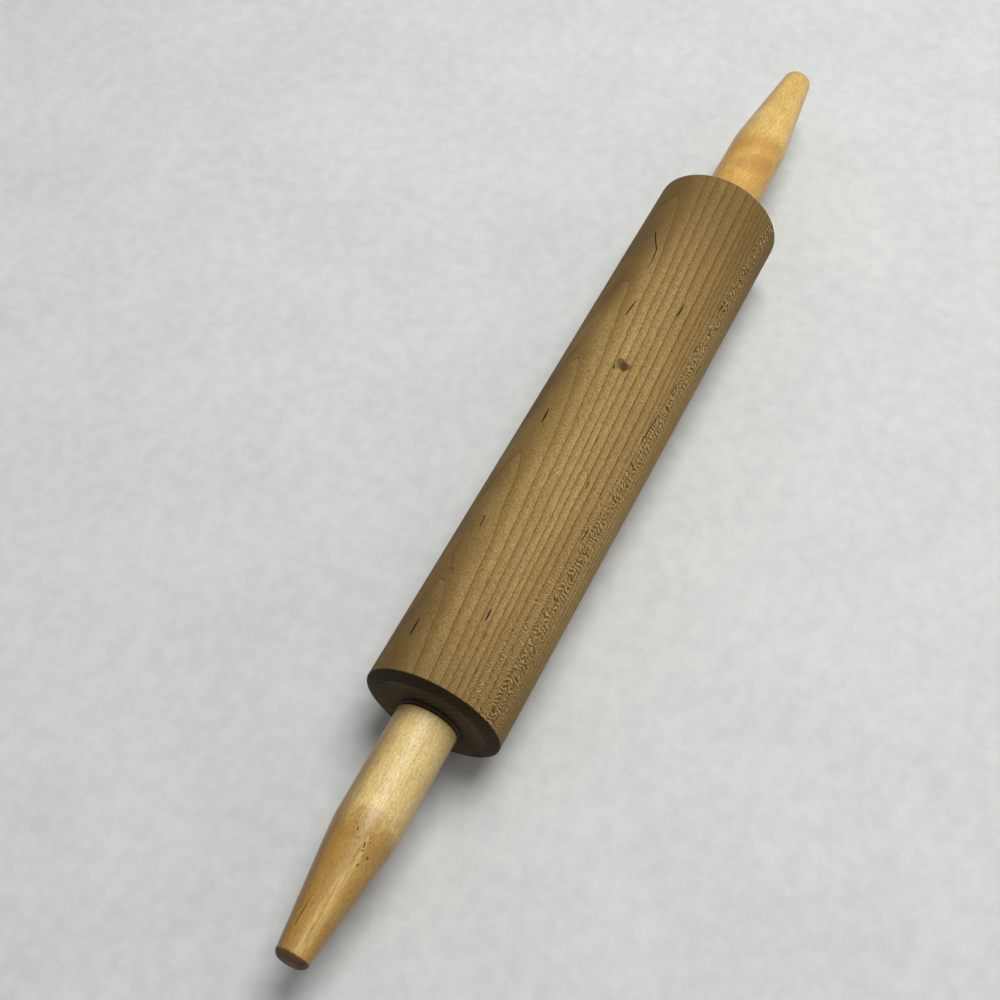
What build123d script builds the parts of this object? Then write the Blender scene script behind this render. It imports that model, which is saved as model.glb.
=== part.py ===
"""Wooden rolling pin: a bored barrel that turns on a steel centre rod between two turned handles.

Millimetres, +X along the pin, +Z up. The origin is on the table, under the middle of the barrel.
"""
from build123d import *
import math
import os

# Barrel
barrel_diameter = 51.9
barrel_length = 254.0
barrel_bevel_length = 2.0
barrel_bevel_depth = 4.3
bore_diameter = 12.7

# Centre rod
rod_diameter = 7.9
rod_grip_length = 37.0
rod_end_chamfer = 0.8
groove_setback = 12.0
groove_width = 2.4
groove_depth = 0.6

# Flanged bush pressed into each end of the bore
bush_length = 25.0
bush_flange_diameter = 19.0
bush_flange_thickness = 1.6
bush_flange_setback = 0.1

# Washer between the barrel and each handle
washer_thickness = 1.2

# Turned handle
handle_diameter = 23.1
handle_length = 91.6
handle_straight_length = 44.7
handle_tip_diameter = 11.65
shoulder_blend_radius = 60.0
butt_edge_chamfer = 0.9
tip_edge_radius = 2.8
socket_spare_depth = 2.0
drill_point_angle = 118.0

# Running clearances: round the rod, and along the pin on each side of a washer
bush_running_clearance = 0.05
washer_running_clearance = 0.15
washer_end_clearance = 0.15

# Sizes that follow
barrel_radius = barrel_diameter / 2
bore_radius = bore_diameter / 2
rod_radius = rod_diameter / 2
bush_flange_radius = bush_flange_diameter / 2
bush_bore_radius = rod_radius + bush_running_clearance
handle_radius = handle_diameter / 2
tip_radius = handle_tip_diameter / 2
washer_radius = handle_radius
washer_hole_radius = rod_radius + washer_running_clearance

# Places along the pin, measured from the middle of the barrel
barrel_face = barrel_length / 2
flange_seat_depth = bush_flange_setback + bush_flange_thickness
flange_seat = barrel_face - flange_seat_depth
flange_face = barrel_face - bush_flange_setback
bush_inner_end = flange_face - bush_length
washer_inner_face = barrel_face + washer_end_clearance
washer_outer_face = washer_inner_face + washer_thickness
handle_butt = washer_outer_face + washer_end_clearance
handle_shoulder = handle_butt + handle_straight_length
handle_end = handle_butt + handle_length
rod_end = handle_butt + rod_grip_length
groove_middle = rod_end - groove_setback
socket_end = rod_end + socket_spare_depth
socket_point = socket_end + rod_radius / math.tan(math.radians(drill_point_angle / 2))

# The pin's own axis lies one barrel radius above the table
axis_centre = Vector(0, 0, barrel_radius)
pin_axis = Axis(axis_centre, (1, 0, 0))
profile_plane = Plane(origin=axis_centre, x_dir=(1, 0, 0), z_dir=(0, -1, 0))
cross_plane = Plane(origin=axis_centre, x_dir=(0, 1, 0), z_dir=(1, 0, 0))
right_face_plane = Plane(origin=axis_centre + Vector(barrel_face, 0, 0), z_dir=(1, 0, 0))
left_face_plane = Plane(origin=axis_centre - Vector(barrel_face, 0, 0), z_dir=(-1, 0, 0))
middle_plane = Plane.YZ

os.makedirs("parts", exist_ok=True)


# Barrel: a turned cylinder with bevelled ends, bored through, with a seat for each bush flange
with BuildPart() as barrel:
    with BuildSketch(cross_plane):
        Circle(barrel_radius)
    extrude(amount=barrel_length / 2, both=True)
    for end in (0, -1):
        end_face = faces().sort_by(Axis.X)[end]
        chamfer(
            end_face.edges(),
            length=barrel_bevel_depth,
            length2=barrel_bevel_length,
            reference=end_face,
        )
    with Locations(left_face_plane, right_face_plane):
        CounterBoreHole(
            radius=bore_radius,
            counter_bore_radius=bush_flange_radius,
            counter_bore_depth=flange_seat_depth,
            depth=barrel_length / 2,
        )
barrel.part.label = "barrel"
export_step(barrel.part, "parts/barrel.step")


# Centre rod: plain steel bar with a glue groove turned in each gripped end
with BuildPart() as centre_rod:
    with BuildSketch(profile_plane):
        with BuildLine():
            Polyline(
                (0, 0),
                (rod_end, 0),
                (rod_end, rod_radius - rod_end_chamfer),
                (rod_end - rod_end_chamfer, rod_radius),
                (groove_middle + groove_width / 2, rod_radius),
                (groove_middle, rod_radius - groove_depth),
                (groove_middle - groove_width / 2, rod_radius),
                (0, rod_radius),
                close=True,
            )
        make_face()
    revolve(axis=pin_axis)
    mirror(about=middle_plane)
centre_rod.part.label = "centre_rod"
export_step(centre_rod.part, "parts/centre_rod.step")


# Right bush: a sleeve with a flange that seats in the barrel's end
with BuildPart() as bush_right:
    with BuildSketch(profile_plane):
        with BuildLine():
            Polyline(
                (bush_inner_end, bush_bore_radius),
                (flange_face, bush_bore_radius),
                (flange_face, bush_flange_radius),
                (flange_seat, bush_flange_radius),
                (flange_seat, bore_radius),
                (bush_inner_end, bore_radius),
                close=True,
            )
        make_face()
    revolve(axis=pin_axis)
bush_right.part.label = "bush_right"
export_step(bush_right.part, "parts/bush_right.step")


# Right washer: a loose flat disc as wide as the handle
with BuildPart() as washer_right:
    with BuildSketch(cross_plane.offset(washer_inner_face)):
        Circle(washer_radius)
        Circle(washer_hole_radius, mode=Mode.SUBTRACT)
    extrude(amount=washer_thickness)
washer_right.part.label = "washer_right"
export_step(washer_right.part, "parts/washer_right.step")


# Right handle: straight grip, soft shoulder, long taper and rounded tip, drilled for the rod
with BuildPart() as handle_right:
    with BuildSketch(profile_plane):
        with BuildLine():
            Polyline(
                (handle_butt, rod_radius),
                (handle_butt, handle_radius),
                (handle_shoulder, handle_radius),
                (handle_end, tip_radius),
                (handle_end, 0),
                (socket_point, 0),
                (socket_end, rod_radius),
                close=True,
            )
        make_face()
        chamfer(vertices().group_by(Axis.Y)[-1].sort_by(Axis.X)[0], length=butt_edge_chamfer)
        fillet(vertices().group_by(Axis.Y)[-1].sort_by(Axis.X)[-1], radius=shoulder_blend_radius)
        fillet(vertices().group_by(Axis.X)[-1].sort_by(Axis.Y)[-1], radius=tip_edge_radius)
    revolve(axis=pin_axis)
handle_right.part.label = "handle_right"
export_step(handle_right.part, "parts/handle_right.step")


# The left end is the right end's mirror image
for right_piece, left_name in (
    (bush_right, "bush_left"),
    (washer_right, "washer_left"),
    (handle_right, "handle_left"),
):
    with BuildPart() as left_piece:
        mirror(right_piece.part, about=middle_plane)
    left_piece.part.label = left_name
    export_step(left_piece.part, f"parts/{left_name}.step")
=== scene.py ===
"""Wooden rolling pin, dressed: a turned barrel, two turned handles, washers, centre rod and bushes.

Objects are in metres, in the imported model's own frame: +X along the pin towards the far handle,
+Z up, the table at height zero. Patterns in the materials are written in millimetres and degrees:
along the pin from its middle, and round it from the top towards +Y.
"""
import math
from functools import partial
from types import SimpleNamespace

import bpy
from bpy.props import FloatProperty, FloatVectorProperty, IntProperty, PointerProperty
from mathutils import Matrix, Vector


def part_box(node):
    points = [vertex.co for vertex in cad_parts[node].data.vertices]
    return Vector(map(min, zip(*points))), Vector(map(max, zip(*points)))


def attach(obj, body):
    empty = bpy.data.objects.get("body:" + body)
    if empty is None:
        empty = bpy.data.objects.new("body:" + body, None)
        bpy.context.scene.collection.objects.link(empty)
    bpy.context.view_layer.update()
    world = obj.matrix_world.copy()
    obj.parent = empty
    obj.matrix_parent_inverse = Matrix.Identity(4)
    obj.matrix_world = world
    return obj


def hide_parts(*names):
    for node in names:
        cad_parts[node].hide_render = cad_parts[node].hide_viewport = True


bl_info = {
    "name": "Wooden Rolling Pin",
    "version": (1, 0, 0),
    "blender": (4, 5, 0),
    "location": "3D View > Sidebar > Rolling Pin",
    "description": "Turns the barrel, handles and washers of a rolling pin and gives each its finish",
    "category": "Add Mesh",
}

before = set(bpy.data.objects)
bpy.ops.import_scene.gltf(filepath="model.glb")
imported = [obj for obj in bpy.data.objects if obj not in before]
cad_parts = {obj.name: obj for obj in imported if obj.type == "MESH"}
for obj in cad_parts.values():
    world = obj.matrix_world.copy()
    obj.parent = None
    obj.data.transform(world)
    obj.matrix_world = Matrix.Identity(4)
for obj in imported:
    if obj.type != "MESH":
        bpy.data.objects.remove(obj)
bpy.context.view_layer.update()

MM = 0.001
MM_PER_METRE = 1000.0

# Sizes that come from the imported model, in metres
barrel_low, barrel_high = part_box("barrel")
handle_low, handle_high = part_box("handle_right")
washer_low, washer_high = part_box("washer_right")
bush_low, bush_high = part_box("bush_right")
rod_low, rod_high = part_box("centre_rod")
axis_height = (barrel_low.z + barrel_high.z) / 2
barrel_radius = (barrel_high.z - barrel_low.z) / 2
handle_radius = (handle_high.z - handle_low.z) / 2
washer_radius = (washer_high.z - washer_low.z) / 2
flange_radius = (bush_high.z - bush_low.z) / 2
rod_radius = (rod_high.z - rod_low.z) / 2

# Lumps of the slow wear and of the dents, the gap that the turned skin closes over, and how sharp an
# edge has to be to stay crisp
slow_wear_size = (60 * MM, 18 * MM, 18 * MM)
dent_size = (9 * MM, 5 * MM, 5 * MM)
merge_distance = 2e-6
crisp_angle = math.radians(38)

# The two soft lamps' places and widths and the nearest that the camera sees, in metres, and the sky
key_place = (0.40, -0.15, 1.35)
key_width = 0.9
fill_place = (0.10, -1.30, 0.75)
fill_width = 1.0
nearest_seen = 0.01
sky_colour = (250, 251, 255)


def shown(red, green, blue):
    """A colour as a screen shows it, 0 to 255, turned into the linear values that Blender works in."""
    linear = []
    for channel in (red, green, blue):
        share = channel / 255
        linear.append(share / 12.92 if share <= 0.04045 else ((share + 0.055) / 1.055) ** 2.4)
    return linear


def length(name, description, default_mm):
    """A length property, given in millimetres and kept in metres."""
    return FloatProperty(name=name, description=description, default=default_mm * MM,
                         min=0.0, precision=5, unit="LENGTH")


def number(name, description, default, **options):
    """A number property."""
    return FloatProperty(name=name, description=description, default=default, **options)


def count(name, description, default):
    """A whole-number property."""
    return IntProperty(name=name, description=description, default=default, min=1)


def colour(name, description, red, green, blue):
    """A colour property, given as a screen shows it."""
    return FloatVectorProperty(name=name, description=description, default=shown(red, green, blue),
                               size=3, min=0.0, max=1.0, subtype="COLOR")


class BarrelSettings(bpy.types.PropertyGroup):
    """Shape and colours of the turned barrel."""
    facets_round: count("Facets Round", "Facets round the barrel", 240)
    step_along: length("Step Along", "Distance between rings of points along the barrel", 1.0)
    bore_step: length("Bore Step", "Distance between rings of points inside the barrel", 12.0)
    bevel_length: length("Bevel Length", "Length of each end's bevel along the barrel", 2.0)
    bevel_depth: length("Bevel Depth", "Depth of each end's bevel towards the axis", 4.3)
    edge_rounding: length("Edge Rounding", "Rounding where the bevel meets the outside", 0.35)
    face_rounding: length("Face Rounding", "Rounding where the bevel meets the end face", 1.2)
    seat_rounding: length("Seat Rounding", "Worn rounding of each flange seat's edge", 0.3)
    edge_steps: count("Edge Steps", "Steps in each rounding", 5)
    seat_depth: length("Seat Depth", "Depth of the seat for each bush flange", 1.7)
    bore_radius: length("Bore Radius", "Radius of the hole through the barrel", 6.35)
    out_of_round: length("Out Of Round", "How far wear and drying have drawn the wood in", 0.10)
    dent_depth: length("Dent Depth", "Depth of the shallow dents from use", 0.10)
    early_wood: colour("Early Wood", "Colour of the wide pale part of each ring", 197, 168, 106)
    late_wood: colour("Late Wood", "Colour towards the outside of each ring", 152, 121, 66)
    ring_line: colour("Ring Line", "Colour of the thin line that ends each ring", 88, 62, 28)
    speckle: colour("Speckle", "Colour of the short dark fibres", 92, 68, 32)
    ray_dark: colour("Ray Dark", "Dark side of the ray flecks", 62, 42, 20)
    ray_light: colour("Ray Light", "Bright side of the ray flecks", 206, 174, 116)
    # Colour of the painted shade down the barrel's flanks, partly the flat-sawn wood's darker tone; it
    # also darkens both ends
    flank: colour("Flank", "Browner, darker wood on the flat-sawn flank", 92, 70, 38)
    mineral: colour("Mineral Streak", "Colour of the dark streaks", 30, 16, 8)
    knot: colour("Knot", "Colour of the knot's heart", 70, 53, 36)
    rust_line: colour("Rust Line", "Colour of the reddish line", 86, 46, 32)
    # End Grain: the end faces' own oiled colour, darkened further by painted shade since they face away
    # from the light
    end_grain: colour("End Grain", "Colour of the oiled end faces", 54, 49, 36)
    end_bevel: colour("End Bevel", "Colour of the oiled bevel at each end", 42, 33, 17)


class HandleSettings(bpy.types.PropertyGroup):
    """Shape and colours of the two turned handles."""
    facets_round: count("Facets Round", "Facets round each handle", 128)
    step_along: length("Step Along", "Distance between rings of points along a handle", 0.8)
    socket_step: length("Socket Step", "Distance between rings of points in the socket", 8.0)
    grip_length: length("Grip Length", "Straight part, from the butt to the shoulder", 44.7)
    shoulder_radius: length("Shoulder Radius", "Blend between the grip and the taper", 60.0)
    tip_radius: length("Tip Radius", "Radius that the taper runs down to", 5.825)
    tip_rounding: length("Tip Rounding", "Rounding of the tip", 2.8)
    butt_rounding: length("Butt Rounding", "Rounding of the butt's edge", 0.9)
    edge_steps: count("Edge Steps", "Steps in each rounding", 10)
    socket_point_depth: length("Socket Depth", "Depth of the rod's socket to its point", 41.3)
    socket_wall_depth: length("Socket Wall", "Depth of the socket's straight wall", 39.0)
    out_of_round: length("Out Of Round", "How far wear and drying have drawn the wood in", 0.08)
    dent_depth: length("Dent Depth", "Depth of the shallow dents from use", 0.05)
    near_grip: colour("Near Grip", "Wood of the near handle's straight part", 255, 227, 150)
    near_taper: colour("Near Taper", "Wood of the near handle's taper", 203, 160, 78)
    far_grip: colour("Far Grip", "Wood of the far handle's straight part", 246, 194, 100)
    far_taper: colour("Far Taper", "Wood of the far handle's taper", 255, 216, 128)
    grain_line: colour("Grain Line", "Thin lines and specks in the handles", 116, 80, 34)
    rust: colour("Rust", "Orange of the varnish where it has aged most", 172, 124, 58)
    end_grain: colour("End Grain", "Dark end of the near handle", 58, 35, 14)


class WasherSettings(bpy.types.PropertyGroup):
    """Shape and colours of the two loose washers."""
    facets_round: count("Facets Round", "Facets round each washer", 128)
    edge_radius: length("Edge Radius", "Worn rounding of the washer's edges", 0.25)
    edge_steps: count("Edge Steps", "Steps in each rounded edge", 5)
    hole_clearance: length("Hole Clearance", "Clearance round the rod", 0.15)
    face: colour("Face", "Colour of the fibre", 62, 48, 42)
    worn: colour("Worn", "Colour where the fibre has rubbed pale", 96, 78, 68)


class MetalworkSettings(bpy.types.PropertyGroup):
    """Colours of the centre rod and its bushes."""
    steel: colour("Steel", "Drawn steel of the rod", 188, 188, 190)
    tarnish: colour("Tarnish", "Steel where the wood's oil has marked it", 120, 112, 100)
    nylon: colour("Nylon", "Moulded bush", 222, 216, 198)
    nylon_grime: colour("Nylon Grime", "Bush where flour and oil have got in", 176, 160, 128)


class StageSettings(bpy.types.PropertyGroup):
    """Camera, floor and lamps."""
    azimuth: number("Azimuth", "Camera's direction round the pin, from in front", math.radians(-63.078),
                    subtype="ANGLE", unit="ROTATION")
    elevation: number("Elevation", "Camera's height angle", math.radians(57.857),
                      subtype="ANGLE", unit="ROTATION")
    distance: length("Distance", "From the camera to the point that it aims at", 590.3)
    lens: number("Lens", "Focal length in millimetres", 56.0, min=10.0)
    aim: FloatVectorProperty(name="Aim", description="Point that the camera looks at", size=3,
                             default=(-0.03134, 0.02182, 0.0146), subtype="TRANSLATION", unit="LENGTH")
    floor_size: length("Floor Size", "Width of the floor", 6000.0)
    floor: colour("Floor", "Pale floor", 210, 211, 207)
    floor_mottle: colour("Floor Mottle", "Darker patches of the floor", 196, 198, 195)
    key_power: number("Key Power", "Power of the large soft lamp overhead", 18.2, min=0.0, unit="POWER")
    fill_power: number("Fill Power", "Power of the soft lamp at the side", 2.0, min=0.0, unit="POWER")
    sky_strength: number("Sky Strength", "Strength of the even light", 0.28, min=0.0)


class Value:
    """What a node puts out. A sum written with it adds the Math node that works it out."""

    def __init__(self, bench, socket):
        self.bench = bench
        self.socket = socket

    def __add__(self, other):
        return self.bench.maths("ADD", self, other)

    def __sub__(self, other):
        return self.bench.maths("SUBTRACT", self, other)

    def __rsub__(self, other):
        return self.bench.maths("SUBTRACT", other, self)

    def __mul__(self, other):
        return self.bench.maths("MULTIPLY", self, other)

    def __truediv__(self, other):
        return self.bench.maths("DIVIDE", self, other)

    def __abs__(self):
        return self.bench.maths("ABSOLUTE", self)

    def scaled(self, share, plus):
        """Times a share, plus an amount, in one node."""
        return self.bench.maths("MULTIPLY_ADD", self, share, plus)

    def step(self, low, high):
        """Rises smoothly from 0 at low to 1 at high, and falls where low is the larger."""
        return self.bench.made("ShaderNodeMapRange", {"Value": self, "From Min": low, "From Max": high},
                               "Result", interpolation_type="SMOOTHSTEP")

    def noise(self, size, detail=2.0, roughness=0.5):
        """Soft noise from 0 to 1, at a place, with lumps of the given size along each axis."""
        inputs = {"Vector": self.bench.vector("DIVIDE", self, size), "Scale": 1.0}
        inputs.update({"Detail": detail, "Roughness": roughness})
        return self.bench.made("ShaderNodeTexNoise", inputs)


class NodeBench:
    """Adds nodes to one tree in order, so that a pattern reads as a list of steps."""

    column_width = 190
    row_height = 170
    rows = 7
    output_kinds = {"VALUE": "Float", "VECTOR": "Vector", "GEOMETRY": "Geometry"}

    def __init__(self, tree):
        self.tree = tree

    def add(self, kind, inputs=None, **options):
        """Adds a node, sets its options, and links or sets its inputs."""
        made = self.tree.nodes.new(kind)
        place = len(self.tree.nodes) - 1
        made.location = (self.column_width * (place // self.rows), -self.row_height * (place % self.rows))
        for name, option in options.items():
            setattr(made, name, option)
        for key, given in (inputs or {}).items():
            self.feed(made.inputs[key], given)
        return made

    def feed(self, socket, given):
        """Links a socket to a value, or sets its own."""
        if isinstance(given, Value):
            self.tree.links.new(given.socket, socket)
        elif socket.type == "RGBA":
            socket.default_value = (*given[:3], 1.0)
        else:
            socket.default_value = given

    def made(self, kind, inputs=None, output=0, **options):
        """Adds a node and gives one of its outputs."""
        return Value(self, self.add(kind, inputs, **options).outputs[output])

    def maths(self, operation, *terms, clamp=False):
        """A Math node."""
        return self.made("ShaderNodeMath", dict(enumerate(terms)), operation=operation, use_clamp=clamp)

    def larger(self, first, second):
        """The larger of two values."""
        return self.maths("MAXIMUM", first, second)

    def vector(self, operation, *terms, output=0):
        """A Vector Math node."""
        return self.made("ShaderNodeVectorMath", dict(enumerate(terms)), output, operation=operation)

    def stretch(self, vector, share):
        """A vector times a number."""
        return self.made("ShaderNodeVectorMath", {0: vector, "Scale": share}, operation="SCALE")

    def length(self, vector):
        """A vector's length."""
        return self.vector("LENGTH", vector, output=1)

    def combine(self, x, y, z):
        """Three values joined into a vector."""
        return self.made("ShaderNodeCombineXYZ", {"X": x, "Y": y, "Z": z})

    def separate(self, vector):
        """A vector's three values."""
        parts = self.add("ShaderNodeSeparateXYZ", {"Vector": vector}).outputs
        return [Value(self, part) for part in parts]

    def shift(self, place, seed):
        """A place moved along the pin by the seed, so that like pieces differ."""
        return self.vector("ADD", place, self.combine(seed, 0.0, 0.0))

    def mix(self, factor, first, second):
        """A colour mix."""
        return self.made("ShaderNodeMix", {0: factor, 6: first, 7: second}, 2, data_type="RGBA")

    def layers(self, base, *tints):
        """Lays tints over a base colour, the lowest first, each by its own share."""
        for share, tint in tints:
            base = self.mix(share, base, tint)
        return base

    def group(self, make, inputs):
        """Places a shared group, made when it is first asked for, and gives its outputs by name."""
        tree = bpy.data.node_groups.get(make.__name__) or make()
        outputs = self.add("ShaderNodeGroup", inputs, node_tree=tree).outputs
        return SimpleNamespace(**{output.name.lower(): Value(self, output) for output in outputs})

    def put_out(self, results):
        """Ends a node group with its named outputs, and gives the group."""
        for name, value in results.items():
            kind = "NodeSocket" + self.output_kinds[value.socket.type]
            self.tree.interface.new_socket(name, in_out="OUTPUT", socket_type=kind)
        self.add("NodeGroupOutput", results)
        return self.tree


class Finish(NodeBench):
    """A bench for a material, with its shader."""

    def __init__(self, name):
        self.material = bpy.data.materials.new(name)
        self.material.use_nodes = True
        self.material.node_tree.nodes.clear()
        super().__init__(self.material.node_tree)
        self.shader = self.add("ShaderNodeBsdfPrincipled")
        self.add("ShaderNodeOutputMaterial", {"Surface": Value(self, self.shader.outputs[0])})

    def complete(self, base, roughness, height, relief, depth_mm, constants):
        """Feeds the shader its colour, roughness, relief and constants, and gives the material."""
        normal = self.made("ShaderNodeBump",
                           {"Strength": relief, "Distance": depth_mm * MM, "Height": height})
        for name, given in (("Base Color", base), ("Roughness", roughness), ("Normal", normal)):
            self.feed(self.shader.inputs[name], given)
        for name, constant in constants.items():
            self.shader.inputs[name].default_value = constant
        return self.material


def new_group(name, inputs, tree_type="ShaderNodeTree"):
    """A node group: its bench and its inputs, each given by its default or by its kind."""
    group = bpy.data.node_groups.new(name, tree_type)
    for socket_name, default in inputs.items():
        kind = {float: "Float", int: "Int"}.get(type(default), default)
        socket = group.interface.new_socket(socket_name, in_out="INPUT", socket_type="NodeSocket" + kind)
        if kind != default:
            socket.default_value = default
    bench = NodeBench(group)
    sockets = bench.add("NodeGroupInput").outputs
    return bench, {socket.name: Value(bench, socket) for socket in sockets}


# Outlines: points (place along the pin, distance from its axis), in metres

def rounded(corners, step, arc_steps):
    """Outline through corners of (along, out, rounding), with points no further apart than step."""
    outline = [Vector(corners[0][:2])]
    for before, here, after in zip(corners, corners[1:], corners[2:]):
        corner = Vector(here[:2])
        arriving = (corner - Vector(before[:2])).normalized()
        leaving = (Vector(after[:2]) - corner).normalized()
        half_turn = arriving.angle(leaving) / 2
        radius = here[2]
        start = corner - arriving * radius * math.tan(half_turn)
        end = corner + leaving * radius * math.tan(half_turn)
        outline += spaced(outline[-1], start, step)
        if radius > 0:
            centre = corner + (leaving - arriving).normalized() * radius / math.cos(half_turn)
            first = (start - centre).normalized()
            last = (end - centre).normalized()
            turns = [first.slerp(last, index / arc_steps) for index in range(arc_steps)]
            outline += [centre + turn * radius for turn in turns]
        outline.append(end)
    end = Vector(corners[-1][:2])
    return outline + spaced(outline[-1], end, step) + [end]


def spaced(start, end, step):
    """Points between start and end, neither included, no further apart than step."""
    steps = max(1, math.ceil((end - start).length / step))
    return [start.lerp(end, index / steps) for index in range(1, steps)]


def mirrored(outline):
    """The same outline at the near end, still running from the near side to the far side."""
    return [Vector((-point.x, point.y)) for point in reversed(outline)]


def barrel_outline(settings):
    """Closed outline of the barrel: over the outside to the far end, then back through the bore."""
    face = barrel_high.x
    edge = face - settings.bevel_length
    seat = face - settings.seat_depth
    rim = barrel_radius - settings.bevel_depth
    halfway = (flange_radius + rim) / 2
    bore = settings.bore_radius
    outside = rounded([
        (-face, halfway, 0.0),
        (-face, rim, settings.face_rounding),
        (-edge, barrel_radius, settings.edge_rounding),
        (edge, barrel_radius, settings.edge_rounding),
        (face, rim, settings.face_rounding),
        (face, halfway, 0.0),
    ], settings.step_along, settings.edge_steps)
    inside = rounded([
        (face, halfway, 0.0),
        (face, flange_radius, settings.seat_rounding),
        (seat, flange_radius, 0.0),
        (seat, bore, 0.0),
        (-seat, bore, 0.0),
        (-seat, flange_radius, 0.0),
        (-face, flange_radius, settings.seat_rounding),
        (-face, halfway, 0.0),
    ], settings.bore_step, settings.edge_steps)
    return outside + inside[1:]


def handle_outline(settings):
    """Outline of the far handle from the socket's point, over the outside, to the middle of the tip."""
    butt = handle_low.x
    end = handle_high.x
    halfway = (rod_radius + handle_radius) / 2
    socket = rounded([
        (butt + settings.socket_point_depth, 0.0, 0.0),
        (butt + settings.socket_wall_depth, rod_radius, 0.0),
        (butt, rod_radius, 0.0),
        (butt, halfway, 0.0),
    ], settings.socket_step, settings.edge_steps)
    outside = rounded([
        (butt, halfway, 0.0),
        (butt, handle_radius, settings.butt_rounding),
        (butt + settings.grip_length, handle_radius, settings.shoulder_radius),
        (end, settings.tip_radius, settings.tip_rounding),
        (end, 0.0, 0.0),
    ], settings.step_along, settings.edge_steps)
    return socket + outside[1:]


def washer_outline(settings):
    """Closed outline of the far washer."""
    inner = washer_low.x
    outer = washer_high.x
    edge = settings.edge_radius
    hole = rod_radius + settings.hole_clearance
    halfway = (hole + washer_radius) / 2
    return rounded([
        (inner, halfway, 0.0),
        (inner, washer_radius, edge),
        (outer, washer_radius, edge),
        (outer, hole, edge),
        (inner, hole, edge),
        (inner, halfway, 0.0),
    ], washer_radius / settings.edge_steps, settings.edge_steps)


def turning_tree():
    """Geometry Nodes tree that turns an outline about the pin's axis, as a lathe does."""
    bench, given = new_group("turned_piece", {
        "Outline": "Geometry", "Facets Round": 64, "Axis Height": 0.0, "Out Of Round": 0.0,
        "Dent Depth": 0.0, "Seed": 0.0, "Finish": "Material",
    }, "GeometryNodeTree")
    bench.tree.is_modifier = True

    # A flat grid: one column of points for each outline point, one row for each facet and one to close
    points = bench.made("GeometryNodeAttributeDomainSize", {"Geometry": given["Outline"]}, "Point Count")
    rows = given["Facets Round"] + 1.0
    grid = bench.made("GeometryNodeMeshGrid", {"Vertices X": points, "Vertices Y": rows})
    index = bench.made("GeometryNodeInputIndex")
    column = bench.maths("FLOOR", (index + 0.5) / rows)
    row = index - column * rows
    position = bench.made("GeometryNodeInputPosition")
    outline = bench.made("GeometryNodeSampleIndex",
                         {"Geometry": given["Outline"], "Index": column, "Value": position},
                         data_type="FLOAT_VECTOR", domain="POINT")
    along, out, _ = bench.separate(outline)
    turn = row * math.tau / given["Facets Round"]
    side = bench.maths("SINE", turn)
    up = bench.maths("COSINE", turn)

    # Wear and drying take a little away from the outer side, more in some places, and never add
    around = bench.combine(along, side * out, up * out)
    shifted = bench.shift(around, given["Seed"])
    slow = shifted.noise(slow_wear_size, detail=1.0)
    dent = shifted.noise(dent_size, detail=0.0).step(0.66, 0.86)
    loss = slow.step(0.25, 0.75) * given["Out Of Round"] + dent * given["Dent Depth"]
    kept = bench.larger(out - loss, 0.0)
    outer_side = bench.maths("GREATER_THAN", out, rod_radius * 1.02)
    radius = bench.made("ShaderNodeMix", {0: outer_side, 2: out, 3: kept}, data_type="FLOAT")
    place = bench.combine(along, side * radius, up * radius + given["Axis Height"])
    wrapped = bench.made("GeometryNodeSetPosition", {"Geometry": grid, "Position": place})
    closed = bench.made("GeometryNodeMergeByDistance", {"Geometry": wrapped, "Distance": merge_distance})

    # Smooth, with the edges that meet at a clear angle kept sharp
    smooth = bench.made("GeometryNodeSetShadeSmooth", {"Geometry": closed, "Shade Smooth": True},
                        domain="FACE")
    angle = bench.made("GeometryNodeInputMeshEdgeAngle", output="Unsigned Angle")
    soft_edge = bench.maths("LESS_THAN", angle, crisp_angle)
    crisp = bench.made("GeometryNodeSetShadeSmooth", {"Geometry": smooth, "Shade Smooth": soft_edge},
                       domain="EDGE")
    real = bench.made("GeometryNodeRealizeInstances", {"Geometry": crisp})
    finished = bench.made("GeometryNodeSetMaterial", {"Geometry": real, "Material": given["Finish"]})
    return bench.put_out({"Piece": finished})


def placed(name, data):
    """A new object in the scene."""
    made = bpy.data.objects.new(name, data)
    bpy.context.scene.collection.objects.link(made)
    return made


def turned_piece(name, outline, settings, finish, wear, seed):
    """Turns an outline into a plain mesh object with the named finish."""
    mesh = bpy.data.meshes.new(name + "_outline")
    edges = [(index, index + 1) for index in range(len(outline) - 1)]
    mesh.from_pydata([(point.x, point.y, 0.0) for point in outline], edges, [])
    blank = placed(name + "_blank", mesh)
    lathe = blank.modifiers.new("lathe", "NODES")
    lathe.node_group = bpy.data.node_groups.get("turned_piece") or turning_tree()
    values = {
        "Facets Round": settings.facets_round, "Axis Height": axis_height, "Out Of Round": wear[0],
        "Dent Depth": wear[1], "Seed": seed, "Finish": finish,
    }
    for socket in lathe.node_group.interface.items_tree:
        if socket.item_type == "SOCKET" and socket.in_out == "INPUT" and socket.name in values:
            lathe[socket.identifier] = values[socket.name]
    evaluated = blank.evaluated_get(bpy.context.evaluated_depsgraph_get())
    turned = bpy.data.meshes.new_from_object(evaluated)
    turned.name = name
    bpy.data.objects.remove(blank)
    bpy.data.meshes.remove(mesh)
    return placed(name, turned)


def fit(piece, body, slot, *nodes):
    """Puts a finished piece in place of its CAD nodes, on the body that carries it."""
    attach(piece, body)
    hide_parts(*nodes)


# Shared patterns

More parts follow.
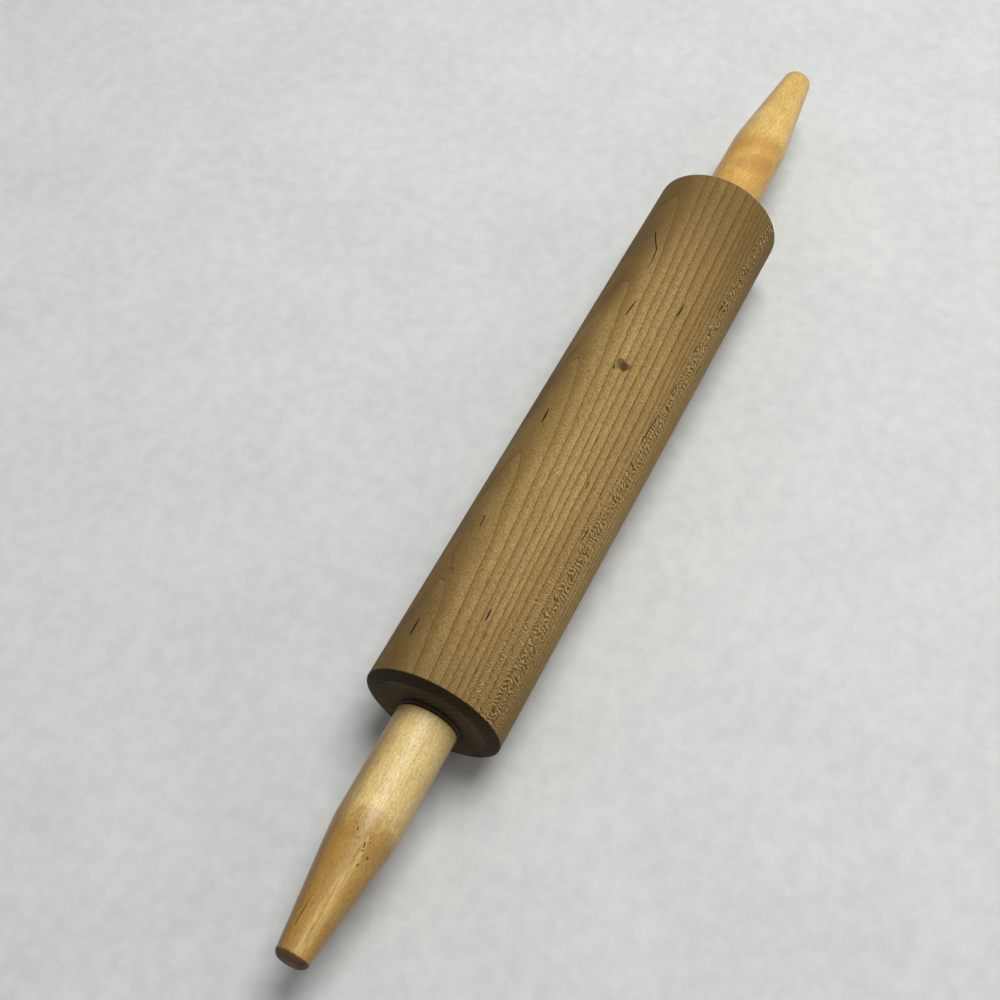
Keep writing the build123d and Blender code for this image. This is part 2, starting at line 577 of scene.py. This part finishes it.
def pin_place():
    """Where a point of the surface lies on the pin, in millimetres and degrees."""
    bench, given = new_group("pin_place", {"Axis Height": axis_height})
    here = bench.made("ShaderNodeTexCoord", output="Object")
    axis = bench.combine(0.0, 0.0, given["Axis Height"])
    place = bench.stretch(bench.vector("SUBTRACT", here, axis), MM_PER_METRE)
    along, side, up = bench.separate(place)
    turn = bench.maths("ARCTAN2", side, up)
    radius = bench.length(bench.combine(0.0, side, up))
    return bench.put_out({
        "Place": place,
        "Unrolled": bench.combine(along, turn * radius, 0.0),
        "Along": along,
        "Turn": bench.maths("DEGREES", turn),
        "Radius": radius,
    })


def ring_height():
    """Height of a point in the log: how far it lies out from the pith, along the flat-sawn direction."""
    bench, given = new_group("ring_height", {
        "Place": "Vector", "Flat Turn": 37.0, "Slope": 0.05, "Waver": 0.5, "Seed": 0.0,
    })
    along, side, up = bench.separate(given["Place"])
    turn = bench.maths("RADIANS", given["Flat Turn"])
    sine = bench.maths("SINE", turn)
    cosine = bench.maths("COSINE", turn)
    level = side.scaled(sine, up * cosine)
    across = side * cosine - up * sine

    # How fast the height changes over the surface: little where the rings lie flat along it
    radius = bench.length(bench.combine(0.0, side, up))
    steepness = bench.length(bench.combine(across / radius, given["Slope"], 0.0))
    shifted = bench.shift(given["Place"], given["Seed"])
    slow = shifted.noise((34.0, 11.0, 11.0), detail=1.0) - 0.5
    fine = (shifted.noise((7.0, 1.6, 1.6), detail=1.0) - 0.5) * 0.36 * steepness
    waver = (slow + fine) * given["Waver"]
    return bench.put_out({
        "Height": level + waver - along * given["Slope"],
        "Steepness": steepness,
    })


def ring_line():
    """Thin line and soft late wood of each ring, from a phase that grows by one for each ring."""
    bench, given = new_group("ring_line", {"Phase": 0.0, "Half Width": 0.07})
    share = bench.maths("FRACT", given["Phase"])
    off = 0.5 - abs(share - 0.5)
    core = given["Half Width"] * 0.25
    return bench.put_out({
        "Line": off.step(given["Half Width"], core),
        "Late": share.step(0.35, 1.0),
    })


def wood_fibre():
    """Fibres along the grain, the tiny dark pores and speckle among them, and a slow change of tone."""
    bench, given = new_group("wood_fibre", {"Place": "Vector", "Length": 7.0, "Width": 0.28, "Seed": 0.0})
    shifted = bench.shift(given["Place"], given["Seed"])
    width = given["Width"]
    pore_length = given["Length"] * 0.22
    speckle_length = width * 2.6
    speckle_width = width * 1.5
    fibre = shifted.noise(bench.combine(given["Length"], width, width), 3.0, 0.6)
    pore = shifted.noise(bench.combine(pore_length, width, width), 1.0, 0.5)
    speckle = shifted.noise(bench.combine(speckle_length, speckle_width, speckle_width), 3.0, 0.75)
    tone = shifted.noise((46.0, 7.5, 7.5), 3.0, 0.55)
    return bench.put_out({
        "Fibre": fibre.step(0.25, 0.75),
        "Pore": pore.step(0.58, 0.70),
        "Speckle": speckle.step(0.32, 0.68),
        "Tone": tone.step(0.25, 0.75),
    })


def ray_fleck():
    """Ray flecks: short bent rungs across the grain, each with a dark and a bright side."""
    bench, given = new_group("ray_fleck", {"Unrolled": "Vector", "Stroke": 2.2, "Pitch": 1.8, "Bend": 2.7})
    unrolled = given["Unrolled"]
    wander = unrolled.noise((4.2, 2.6, 1.0), detail=1.0) - 0.5
    along = bench.separate(unrolled)[0]
    rung = wander.scaled(given["Bend"], along / given["Pitch"])
    wave = bench.maths("SINE", rung * math.tau)
    gaps = unrolled.noise(bench.combine(given["Pitch"] * 1.3, given["Stroke"], 1.0), 1.0, 0.4)
    kept = gaps.step(0.40, 0.50)
    return bench.put_out({
        "Dark": wave.step(0.10, 0.80) * kept,
        "Bright": wave.step(-0.10, -0.80) * kept,
    })


def grain_mark():
    """One mark that runs from a start to an end on the unrolled surface, widest halfway."""
    bench, given = new_group("grain_mark", {
        "Unrolled": "Vector", "Start": "Vector", "End": "Vector",
        "Half Width": 0.5, "Softness": 0.5, "Strength": 1.0,
    })
    ragged = given["Unrolled"].noise((1.6, 0.7, 1.0), 2.0) - 0.5
    run = bench.vector("SUBTRACT", given["End"], given["Start"])
    reach = bench.vector("SUBTRACT", given["Unrolled"], given["Start"])
    share = bench.maths("DIVIDE", bench.vector("DOT_PRODUCT", reach, run, output=1),
                        bench.vector("DOT_PRODUCT", run, run, output=1), clamp=True)
    off = bench.length(bench.vector("SUBTRACT", reach, bench.stretch(run, share)))
    belly = bench.maths("SQRT", share * (1.0 - share))
    width = given["Half Width"] * belly.scaled(1.5, 0.25) * ragged.scaled(0.9, 1.0)
    core = width * (1.0 - given["Softness"])
    return bench.put_out({"Mark": off.step(width, core) * given["Strength"]})


def handling():
    """Stain and polish that hands, flour and oil leave: slow patches, fine specks and scuffs."""
    bench, given = new_group("handling", {
        "Place": "Vector", "Patch Size": 14.0, "Speck Size": 0.55, "Seed": 0.0,
    })
    seed = given["Seed"]
    patch_size = given["Patch Size"]
    speck_size = given["Speck Size"]
    shifted = bench.vector("ADD", given["Place"], bench.combine(seed, seed, 0.0))
    patch = shifted.noise(bench.combine(patch_size, patch_size, patch_size), 4.0, 0.6)
    speck = shifted.noise(bench.combine(speck_size, speck_size, speck_size), 2.0, 0.6)
    scuff = shifted.noise((3.0, 0.5, 0.5), 3.0, 0.65)
    return bench.put_out({
        "Patch": patch.step(0.35, 0.7),
        "Speck": speck.step(0.62, 0.74),
        "Scuff": scuff.step(0.3, 0.7),
    })


def worn_finish(name, patch_size, seed=0.0):
    """A material's bench, a point's place on the pin, and the wear that the surface shows."""
    bench = Finish(name)
    pin = bench.group(pin_place, {"Axis Height": axis_height})
    wear = bench.group(handling, {"Place": pin.place, "Patch Size": patch_size, "Seed": seed})
    return bench, pin, wear


def marks(bench, pin, radius_at, table, softness=0.6):
    """All the marks of a table, joined. A row: along and turn of each end, half width, strength."""
    joined = 0.0
    for start_along, start_turn, end_along, end_turn, half_width, strength in table:
        start = (start_along, math.radians(start_turn) * radius_at(start_along), 0.0)
        end = (end_along, math.radians(end_turn) * radius_at(end_along), 0.0)
        mark = bench.group(grain_mark, {
            "Unrolled": pin.unrolled, "Start": start, "End": end,
            "Half Width": half_width, "Softness": softness, "Strength": strength,
        })
        joined = bench.larger(joined, mark.mark)
    return joined


# Ends of the barrel's rings, in millimetres out from the level of its axis along the flat-sawn direction
seen_ring_ends = (-1.8, 0.0, 2.3, 5.9, 10.0, 12.9, 15.8, 17.8, 20.2, 22.6, 24.9, 27.4, 30.2, 32.4)
hidden_ring_width = 2.3
usual_ring_width = 2.6
ring_line_width = 0.24
ring_range = 36.0

# How each log lies in its piece: turn of its flat-sawn side, slope of its rings, and how they waver.
# A handle has shorter, wider fibres than the barrel, and rings that are all alike
barrel_log = {"Flat Turn": 37.0, "Slope": 0.05, "Waver": 0.9}
handle_log = {"Flat Turn": 12.0, "Slope": 0.01, "Waver": 1.2}
handle_fibre = {"Length": 5.0, "Width": 0.34}
handle_pith = 40.0
handle_ring_width = 2.1

# The barrel's ray flecks: a bold band, and finer ones over a wider patch near the camera
bold_flecks = {"Stroke": 2.2, "Pitch": 1.80, "Bend": 2.9}
small_flecks = {"Stroke": 0.8, "Pitch": 1.05, "Bend": 6.5}

# Marks, one in each row: along (millimetres) and turn (degrees) of each end, half width, strength.
# First the dark streaks and dashes of the barrel
barrel_streaks = (
    (-111.2, 36.9, -103.6, 37.1, 0.58, 1.00),
    (-13.2, 32.6, -6.2, 33.6, 0.56, 1.00),
    (-63.2, 31.9, -57.6, 32.9, 0.34, 0.95),
    (-96.0, -12.9, -92.2, -12.7, 0.24, 0.60),
    (43.6, 14.6, 52.0, 12.6, 0.38, 0.92),
    (53.2, -24.9, 60.2, -25.2, 0.38, 0.92),
    (69.0, 19.6, 75.5, 19.4, 0.20, 0.80),
    (73.0, 19.0, 81.0, 22.0, 0.26, 0.90),
    (79.2, 20.6, 86.0, 28.6, 0.34, 0.95),
    (84.0, 26.6, 90.6, 33.8, 0.36, 0.95),
    (-0.8, -53.6, 13.4, -54.8, 0.32, 0.80),
    (25.2, -55.6, 31.2, -56.8, 0.30, 0.80),
    (46.6, -55.4, 50.6, -55.8, 0.28, 0.75),
    (69.8, -57.6, 76.8, -59.6, 0.30, 0.75),
    (43.0, -73.0, 48.0, -73.0, 0.40, 0.55),
    (-49.6, -48.8, -43.6, -49.4, 0.35, 0.70),
    (-32.8, -30.0, -28.8, -29.2, 0.28, 0.60),
    (12.9, 17.6, 14.6, 17.7, 0.24, 0.60),
    (-115.0, -26.0, -112.0, -26.0, 0.25, 0.45),
    (-103.0, -18.5, -100.0, -18.5, 0.25, 0.45),
    (-14.0, -18.0, -11.0, -18.0, 0.22, 0.40),
    (18.2, -0.8, 19.8, 0.4, 0.42, 0.90),
)

# Thin lines where a ring breaks out of the surface on the flat-sawn flank
barrel_fine_lines = (
    (-126.5, 38.2, -117.0, 41.6, 0.28, 0.80),
    (-118.0, 41.0, -110.8, 50.5, 0.28, 0.75),
    (-84.2, 30.4, -80.8, 37.0, 0.34, 0.90),
    (-81.0, 36.4, -83.2, 38.8, 0.34, 0.85),
    (-80.6, 36.0, -76.6, 42.6, 0.30, 0.85),
    (-77.2, 42.2, -64.0, 47.6, 0.28, 0.80),
)

# Reddish lines, the knot's ring and its heart, and soft dark patches
barrel_rust_lines = (
    (7.0, 58.5, 20.0, 51.0, 0.70, 1.00),
    (18.0, 52.4, 27.5, 45.8, 0.60, 1.00),
    (-96.6, -13.0, -91.6, -12.6, 0.60, 0.90),
)
barrel_knot = (
    (19.6, -8.6, 22.4, -5.8, 4.40, 0.60),
    (20.9, -5.4, 23.6, -1.2, 2.50, 0.80),
)
barrel_knot_heart = (
    (19.2, -8.8, 22.4, -5.8, 3.30, 1.00),
)
barrel_patches = (
    (113.0, -8.0, 119.0, -8.0, 2.00, 0.40),
    (50.0, 46.0, 64.0, 40.0, 4.50, 0.40),
    (20.0, 46.0, 34.0, 44.0, 3.00, 0.25),
)

# The near handle: its crack, streaks and specks, its rust patches, a painted highlight streak, how much
# painted shade falls down each flank, where its noise starts, and how dark its end grain is
near_marks = {
    "specks": (
        (-197.0, 17.0, -203.0, 20.9, 0.10, 0.70),
        (-201.8, 20.2, -210.4, 25.8, 0.24, 1.00),
        (-148.8, 31.8, -154.6, 26.6, 0.14, 0.45),
        (-166.2, 42.6, -171.6, 36.6, 0.14, 0.55),
        (-171.4, 18.9, -171.9, 18.0, 0.32, 0.70),
        (-174.6, -0.2, -175.8, -2.0, 0.42, 0.90),
        (-177.2, -8.6, -178.0, -7.6, 0.34, 0.80),
        (-177.6, -23.6, -179.6, -25.2, 0.44, 0.90),
        (-180.0, -27.6, -180.8, -26.2, 0.38, 0.80),
        (-181.0, -41.0, -182.0, -43.2, 0.50, 0.95),
        (-176.8, -31.6, -177.4, -31.0, 0.30, 0.75),
        (-184.4, -33.8, -185.6, -32.4, 0.44, 0.80),
    ),
    "speck_cloud": ((-185.0, -36.0, -172.0, 6.0, 4.00, 1.00),),
    "rust": (
        (-177.0, 34.0, -194.0, 26.0, 3.20, 0.60),
        (-172.0, 60.0, -180.0, 66.0, 3.60, 0.60),
        (-187.0, -8.0, -204.0, -6.0, 1.60, 0.35),
    ),
    # A pale streak along the taper, a painted highlight
    "rub_and_highlight": ((-176.0, -22.0, -226.0, -22.0, 3.40, 0.46),),
    # Strengths of the painted shade down each flank
    "shade_lit_flank": 0.50,
    "shade_other_flank": 0.74,
    "seed": 31.0,
    "end_stain": 0.95,
}

# The far handle: orange blotch and shoulder band, painted highlight streak, painted flank shade, faint
# specks
far_marks = {
    "specks": (
        (173.4, 21.4, 174.4, 22.2, 0.26, 0.50),
        (172.4, -10.2, 173.4, -9.4, 0.26, 0.45),
        (169.4, -45.2, 170.4, -46.0, 0.34, 0.50),
    ),
    "speck_cloud": ((160.0, -40.0, 170.0, 10.0, 4.00, 0.50),),
    "rust": (
        (149.0, 8.0, 160.0, -62.0, 8.00, 0.62),
        (160.0, 52.0, 170.0, -66.0, 7.50, 0.45),
    ),
    # A pale streak along the taper, a painted highlight
    "rub_and_highlight": ((168.0, -52.0, 226.0, -56.0, 3.60, 0.40),),
    # Strengths of the painted shade down each flank
    "shade_lit_flank": 0.18,
    "shade_other_flank": 0.40,
    "seed": 77.0,
    "end_stain": 0.25,
}


def ring_curve(bench, height):
    """Counts the rings out from the pith, through ring ends that were chosen one by one."""
    lowest = seen_ring_ends[0]
    hidden_count = int((ring_range + lowest) / hidden_ring_width)
    ends = [lowest - hidden_ring_width * (hidden_count - index) for index in range(hidden_count)]
    ends += seen_ring_ends
    made = bench.add("ShaderNodeFloatCurve", {"Value": (height + ring_range) / (2 * ring_range)})
    curve = made.mapping.curves[0]
    for index, end in enumerate(ends):
        place = ((end + ring_range) / (2 * ring_range), index / len(ends))
        if index in (0, len(ends) - 1):
            point = curve.points[0 if index == 0 else len(curve.points) - 1]
            point.location = place
        else:
            point = curve.points.new(*place)
        point.handle_type = "VECTOR"
    made.mapping.update()
    return Value(bench, made.outputs[0]) * float(len(ends))


def barrel_radius_at(along):
    """Radius of the barrel in millimetres, alike at every place along it."""
    return barrel_radius * MM_PER_METRE


def barrel_wood(settings):
    """Oiled, worn hardwood with its own rings, ray flecks, streaks and knot."""
    bench, pin, wear = worn_finish("barrel_wood", 26.0)
    rings = bench.group(ring_height, {"Place": pin.place, **barrel_log})
    phase = ring_curve(bench, rings.height)
    half_width = bench.larger(rings.steepness * (ring_line_width / usual_ring_width), 0.010)
    ring = bench.group(ring_line, {"Phase": phase, "Half Width": half_width})
    fibre = bench.group(wood_fibre, {"Place": pin.place})
    laid = partial(marks, bench, pin, barrel_radius_at)

    # The flanks darken away from the lit top, in blotches: partly the flat-sawn wood's darker tone, partly
    # painted shade
    flank = pin.turn.step(4.0, 52.0) * pin.turn.step(130.0, 95.0)
    flank = flank * wear.patch.scaled(0.3, 0.55)
    flank = bench.larger(flank, pin.turn.step(-12.0, -50.0) * 0.22)
    # Both ends are darker than the middle
    towards_end = abs(pin.along + 15.0).step(40.0, 135.0)

    # The ring lines are broken up along their length, and some break out of the flank
    broken = pin.unrolled.noise((2.6, 0.9, 1.0), 2.0)
    line = ring.line * broken.step(0.32, 0.60).scaled(0.46, 0.48)
    line = bench.larger(line, laid(barrel_fine_lines))

    # Ray flecks on the quartersawn side: a bold band, and finer ones over a patch that widens to one end
    bold_band = abs(pin.turn - pin.along.scaled(-0.04, -60.8)).step(8.5, 4.5)
    into = pin.along.scaled(-0.17, -42.0) - pin.turn
    fine_band = into.step(0.0, 14.0) * pin.turn.step(-76.0, -69.0) * (1.0 - bold_band)
    bold = bench.group(ray_fleck, {"Unrolled": pin.unrolled, **bold_flecks})
    small = bench.group(ray_fleck, {"Unrolled": pin.unrolled, **small_flecks})
    dark_ray = bench.larger(bold.dark * bold_band * 0.76, small.dark * fine_band * 0.46)
    bright_ray = bench.larger(bold.bright * bold_band, small.bright * fine_band)

    # The marks placed one by one
    patch = laid(barrel_patches, softness=1.0)
    rust = laid(barrel_rust_lines)
    knot = laid(barrel_knot, softness=0.7)
    heart = laid(barrel_knot_heart, softness=0.9)
    streak = laid(barrel_streaks)

    # End grain, dark with oil and painted shade, a darker bevel, and painted shade where the bevel meets
    # the face
    bevel_start = barrel_high.x * MM_PER_METRE - settings.bevel_length * MM_PER_METRE
    rim_radius = (barrel_radius - settings.bevel_depth) * MM_PER_METRE
    end_grain_and_shade = bench.layers(
        settings.end_grain,
        (wear.patch.scaled(0.20, ring.late * 0.12), settings.late_wood),
        # Painted shade in the crease between the bevel and the flat face
        (abs(pin.radius - rim_radius).step(0.9, 0.2) * 0.6, settings.mineral),
        (pin.radius.step(rim_radius, rim_radius + 1.0) * 0.85, settings.end_bevel),
    )
    wood = bench.layers(
        settings.early_wood,
        (ring.late * 0.8, settings.late_wood),
        (fibre.tone.scaled(0.45, fibre.fibre * 0.25), settings.late_wood),
        # Painted shade down the flanks, partly the wood's own darker tone, and then both ends darkened
        (flank, settings.flank),
        (towards_end * 0.58, settings.flank),
        (fibre.speckle.scaled(0.66, fibre.pore * 0.40), settings.speckle),
        (line, settings.ring_line),
        (bright_ray * 0.42, settings.ray_light),
        (dark_ray, settings.ray_dark),
        (patch, settings.speckle),
        (rust, settings.rust_line),
        (knot, settings.ring_line),
        (heart, settings.knot),
        (streak.step(0.0, 0.5) * 0.5, settings.rust_line),
        (streak.step(0.15, 0.60), settings.mineral),
        # The ends: oiled end grain with painted shade
        (abs(pin.along).step(bevel_start - 0.15, bevel_start + 0.15), end_grain_and_shade),
    )
    height = fibre.fibre.scaled(0.4, fibre.speckle * 0.5)
    return bench.complete(wood, wear.scuff.scaled(0.16, 0.60), height, 0.5, 0.06,
                          {"IOR": 1.42, "Specular IOR Level": 0.18})


def handle_radius_at(along):
    """Radius of a handle at a place along the pin, both in millimetres."""
    settings = bpy.context.scene.pin_handles
    shoulder = (handle_low.x + settings.grip_length) * MM_PER_METRE
    end = handle_high.x * MM_PER_METRE
    share = min(1.0, max(0.0, (abs(along) - shoulder) / (end - shoulder)))
    return (handle_radius + (settings.tip_radius - handle_radius) * share) * MM_PER_METRE


def handle_wood(name, settings, grip, taper, own):
    """Varnished pale hardwood, with its own colours for the grip and the taper, and its own marks."""
    bench, pin, wear = worn_finish(name, 7.0, own["seed"])
    rings = bench.group(ring_height, {"Place": pin.place, "Seed": own["seed"], **handle_log})
    phase = (rings.height + handle_pith) / handle_ring_width
    ring = bench.group(ring_line, {"Phase": phase, "Half Width": 0.15})
    fibre = bench.group(wood_fibre, {"Place": pin.place, "Seed": own["seed"], **handle_fibre})
    laid = partial(marks, bench, pin, handle_radius_at)

    # The grip gives way raggedly to the taper
    shoulder = (handle_low.x + settings.grip_length) * MM_PER_METRE
    reach = abs(pin.along)
    fingers = pin.unrolled.noise((9.0, 1.1, 1.0), 3.0, 0.6)
    ragged = wear.patch.scaled(4.0, fingers.scaled(9.0, reach))
    on_taper = ragged.step(shoulder - 3.0, shoulder + 9.0)
    grain = fibre.pore.scaled(0.16, fibre.fibre.scaled(0.34, fibre.speckle * 0.32))

    # Painted shade darkens the two flanks more than the top, where the light falls, and a painted
    # highlight runs in a pale streak
    shade_down_lit_side = pin.turn.step(-34.0, -88.0) * own["shade_lit_flank"]
    shade_down_other_side = pin.turn.step(13.0, 54.0) * own["shade_other_flank"]
    rub_and_highlight = laid(own["rub_and_highlight"], softness=1.0)

    # Specks, thickest in a cloud, then rust patches and dark marks
    cloud = laid(own["speck_cloud"], softness=1.0)
    speck_share = on_taper.scaled(0.12, cloud.scaled(0.80, 0.05))
    rust = laid(own["rust"], softness=1.0)
    dark = laid(own["specks"])

    # The tip's end grain, and the wood darker towards the butt, darkest in a line at the butt's edge
    end = handle_high.x * MM_PER_METRE
    butt = handle_low.x * MM_PER_METRE
    tip = fingers.scaled(1.6, reach).step(end - 2.0, end - 1.2) * own["end_stain"]
    tip_wood = bench.mix(wear.speck.scaled(0.20, wear.patch * 0.15), settings.end_grain, settings.rust)
    wood = bench.layers(
        grip,
        (on_taper, taper),
        (fibre.tone * 0.16, settings.grain_line),
        (ring.line.scaled(0.05, grain), settings.grain_line),
        (wear.patch * on_taper.scaled(0.12, 0.05), settings.grain_line),
        # Painted shade down both flanks
        (bench.larger(shade_down_lit_side, shade_down_other_side), settings.grain_line),
        # Painted highlight: a pale streak along the taper
        (rub_and_highlight * fingers.step(0.32, 0.70), grip),
        (wear.speck * speck_share, settings.end_grain),
        (rust, settings.rust),
        (dark, settings.end_grain),
        (tip, tip_wood),
        (reach.step(butt + 13.0, butt) * 0.16, settings.grain_line),
        (reach.step(butt + 1.0, butt + 0.2) * 0.80, settings.end_grain),
    )
    rough = tip.scaled(0.35, on_taper.scaled(-0.07, wear.scuff.scaled(0.18, 0.29)))
    height = fibre.speckle.scaled(0.5, fibre.fibre * 0.5)
    return bench.complete(wood, rough, height, 0.7, 0.05, {"IOR": 1.48})


def washer_fibre(settings):
    """Vulcanised fibre, dark, rubbed paler at its edges."""
    bench, pin, wear = worn_finish("washer_fibre", 4.0)
    edge = washer_radius * MM_PER_METRE
    rub_and_highlight = pin.radius.step(edge - 0.5, edge) * wear.patch.scaled(0.5, 0.1)
    fibre = bench.layers(settings.face, (rub_and_highlight, settings.worn), (wear.speck * 0.3, settings.worn))
    return bench.complete(fibre, wear.scuff.scaled(0.2, 0.6), wear.scuff, 0.3, 0.05,
                          {"Specular IOR Level": 0.25})


def rod_steel(settings):
    """Drawn steel: fine lines along the bar, and marks left by oiled wood."""
    bench, pin, wear = worn_finish("rod_steel", 6.0)
    drawn = pin.unrolled.noise((30.0, 0.12, 1.0), 2.0, 0.6)
    tarnish = settings.tarnish
    steel = bench.layers(settings.steel, (drawn * 0.35, tarnish), (wear.patch * 0.5, tarnish))
    return bench.complete(steel, drawn.scaled(0.25, 0.22), drawn, 0.2, 0.02, {"Metallic": 1.0})


def bush_nylon(settings):
    """Moulded nylon, matt, with grime in it."""
    bench, pin, wear = worn_finish("bush_nylon", 5.0)
    grime = settings.nylon_grime
    nylon = bench.layers(settings.nylon, (wear.patch * 0.6, grime), (wear.speck * 0.4, grime))
    return bench.complete(nylon, wear.scuff.scaled(0.15, 0.42), wear.scuff, 0.15, 0.03,
                          {"Subsurface Weight": 0.1, "Subsurface Scale": 0.002})


def felt_floor(settings):
    """Plain pale floor with a faint mottle."""
    bench = Finish("felt_floor")
    here = bench.made("ShaderNodeTexCoord", output="Object")
    cloud = here.noise((0.007, 0.007, 0.007), 4.0, 0.65)
    slow = here.noise((0.05, 0.05, 0.05), 2.0, 0.5)
    blend = slow.step(0.3, 0.7).scaled(0.35, cloud.step(0.3, 0.7) * 0.65)
    mottled = bench.mix(blend, settings.floor, settings.floor_mottle)
    return bench.complete(mottled, 0.9, cloud, 0.15, 0.3, {})


def soft_lamp(name, place, size, power):
    """A large round lamp that points at the middle of the pin."""
    lamp = bpy.data.lights.new(name, "AREA")
    lamp.shape = "DISK"
    lamp.size = size
    lamp.energy = power
    made = placed(name, lamp)
    made.location = Vector(place)
    made.rotation_euler = made.location.to_track_quat("Z", "Y").to_euler()


class ROLLINGPIN_OT_turn_barrel(bpy.types.Operator):
    """Turn the barrel and give it its oiled, worn wood"""
    bl_idname = "rolling_pin.turn_barrel"
    bl_label = "Turn Barrel"

    def execute(self, context):
        settings = context.scene.pin_barrel
        piece = turned_piece("turned_barrel", barrel_outline(settings), settings, barrel_wood(settings),
                             (settings.out_of_round, settings.dent_depth), 0.0)
        fit(piece, "barrel", "barrel_wood", "barrel")
        return {"FINISHED"}


class ROLLINGPIN_OT_turn_handles(bpy.types.Operator):
    """Turn both handles and give each its varnished wood"""
    bl_idname = "rolling_pin.turn_handles"
    bl_label = "Turn Handles"

    def execute(self, context):
        settings = context.scene.pin_handles
        wear = (settings.out_of_round, settings.dent_depth)
        far_outline = handle_outline(settings)
        near_finish = handle_wood("near_handle_wood", settings, settings.near_grip, settings.near_taper,
                                  near_marks)
        far_finish = handle_wood("far_handle_wood", settings, settings.far_grip, settings.far_taper,
                                 far_marks)
        near = turned_piece("near_handle", mirrored(far_outline), settings, near_finish, wear, 0.3)
        far = turned_piece("far_handle", far_outline, settings, far_finish, wear, 0.7)
        fit(near, "spindle", "handle_wood", "handle_left")
        fit(far, "spindle", "handle_wood", "handle_right")
        return {"FINISHED"}


class ROLLINGPIN_OT_cut_washers(bpy.types.Operator):
    """Cut the two loose fibre washers"""
    bl_idname = "rolling_pin.cut_washers"
    bl_label = "Cut Washers"

    def execute(self, context):
        settings = context.scene.pin_washers
        finish = washer_fibre(settings)
        far_outline = washer_outline(settings)
        near = turned_piece("near_washer", mirrored(far_outline), settings, finish, (0.0, 0.0), 0.0)
        far = turned_piece("far_washer", far_outline, settings, finish, (0.0, 0.0), 0.0)
        fit(near, "left_washer", "fibre_washer", "washer_left")
        fit(far, "right_washer", "fibre_washer", "washer_right")
        return {"FINISHED"}


class ROLLINGPIN_OT_finish_metalwork(bpy.types.Operator):
    """Give the centre rod and the two bushes their finishes"""
    bl_idname = "rolling_pin.finish_metalwork"
    bl_label = "Finish Rod And Bushes"

    def execute(self, context):
        settings = context.scene.pin_metalwork
        nylon = bush_nylon(settings)
        finishes = {"centre_rod": rod_steel(settings), "bush_left": nylon, "bush_right": nylon}
        for name, finish in finishes.items():
            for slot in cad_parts[name].material_slots:
                slot.material = finish
        return {"FINISHED"}


class ROLLINGPIN_OT_set_stage(bpy.types.Operator):
    """Set the camera, the pale floor and the soft light"""
    bl_idname = "rolling_pin.set_stage"
    bl_label = "Set Stage"

    def execute(self, context):
        settings = context.scene.pin_stage
        scene = context.scene
        half = settings.floor_size / 2
        mesh = bpy.data.meshes.new("floor")
        mesh.from_pydata([(-half, -half, 0.0), (half, -half, 0.0), (half, half, 0.0), (-half, half, 0.0)],
                         [], [(0, 1, 2, 3)])
        mesh.materials.append(felt_floor(settings))
        placed("floor", mesh)

        aim = Vector(settings.aim)
        back = Vector((math.sin(settings.azimuth) * math.cos(settings.elevation),
                       -math.cos(settings.azimuth) * math.cos(settings.elevation),
                       math.sin(settings.elevation)))
        camera = placed("camera", bpy.data.cameras.new("camera"))
        camera.data.lens = settings.lens
        camera.data.clip_start = nearest_seen
        camera.location = aim + back * settings.distance
        camera.rotation_euler = back.to_track_quat("Z", "Y").to_euler()
        scene.camera = camera

        soft_lamp("key", key_place, key_width, settings.key_power)
        soft_lamp("fill", fill_place, fill_width, settings.fill_power)

        world = bpy.data.worlds.new("soft_sky")
        world.use_nodes = True
        sky = world.node_tree.nodes["Background"]
        sky.inputs["Color"].default_value = (*shown(*sky_colour), 1.0)
        sky.inputs["Strength"].default_value = settings.sky_strength
        scene.world = world
        scene.view_settings.view_transform = "Standard"
        return {"FINISHED"}


class ROLLINGPIN_PT_sidebar(bpy.types.Panel):
    """Lists the steps that dress the rolling pin, with their settings"""
    bl_idname = "ROLLINGPIN_PT_sidebar"
    bl_label = "Rolling Pin"
    bl_space_type = "VIEW_3D"
    bl_region_type = "UI"
    bl_category = "Rolling Pin"

    def draw(self, context):
        for operator, settings_name in STEPS:
            box = self.layout.box()
            box.operator(operator.bl_idname)
            settings = getattr(context.scene, settings_name)
            for name in settings.__annotations__:
                box.prop(settings, name)


SETTINGS = {
    "pin_barrel": BarrelSettings,
    "pin_handles": HandleSettings,
    "pin_washers": WasherSettings,
    "pin_metalwork": MetalworkSettings,
    "pin_stage": StageSettings,
}
STEPS = (
    (ROLLINGPIN_OT_turn_barrel, "pin_barrel"),
    (ROLLINGPIN_OT_turn_handles, "pin_handles"),
    (ROLLINGPIN_OT_cut_washers, "pin_washers"),
    (ROLLINGPIN_OT_finish_metalwork, "pin_metalwork"),
    (ROLLINGPIN_OT_set_stage, "pin_stage"),
)


def register():
    """Registers the settings, the operators and the panel."""
    for name, settings in SETTINGS.items():
        bpy.utils.register_class(settings)
        setattr(bpy.types.Scene, name, PointerProperty(type=settings))
    for operator, _ in STEPS:
        bpy.utils.register_class(operator)
    bpy.utils.register_class(ROLLINGPIN_PT_sidebar)


def unregister():
    """Removes what register added."""
    bpy.utils.unregister_class(ROLLINGPIN_PT_sidebar)
    for operator, _ in reversed(STEPS):
        bpy.utils.unregister_class(operator)
    for name, settings in reversed(SETTINGS.items()):
        delattr(bpy.types.Scene, name)
        bpy.utils.unregister_class(settings)


def main():
    register()
    bpy.ops.rolling_pin.turn_barrel()
    bpy.ops.rolling_pin.turn_handles()
    bpy.ops.rolling_pin.cut_washers()
    bpy.ops.rolling_pin.finish_metalwork()
    bpy.ops.rolling_pin.set_stage()


if __name__ == "__main__":
    main()
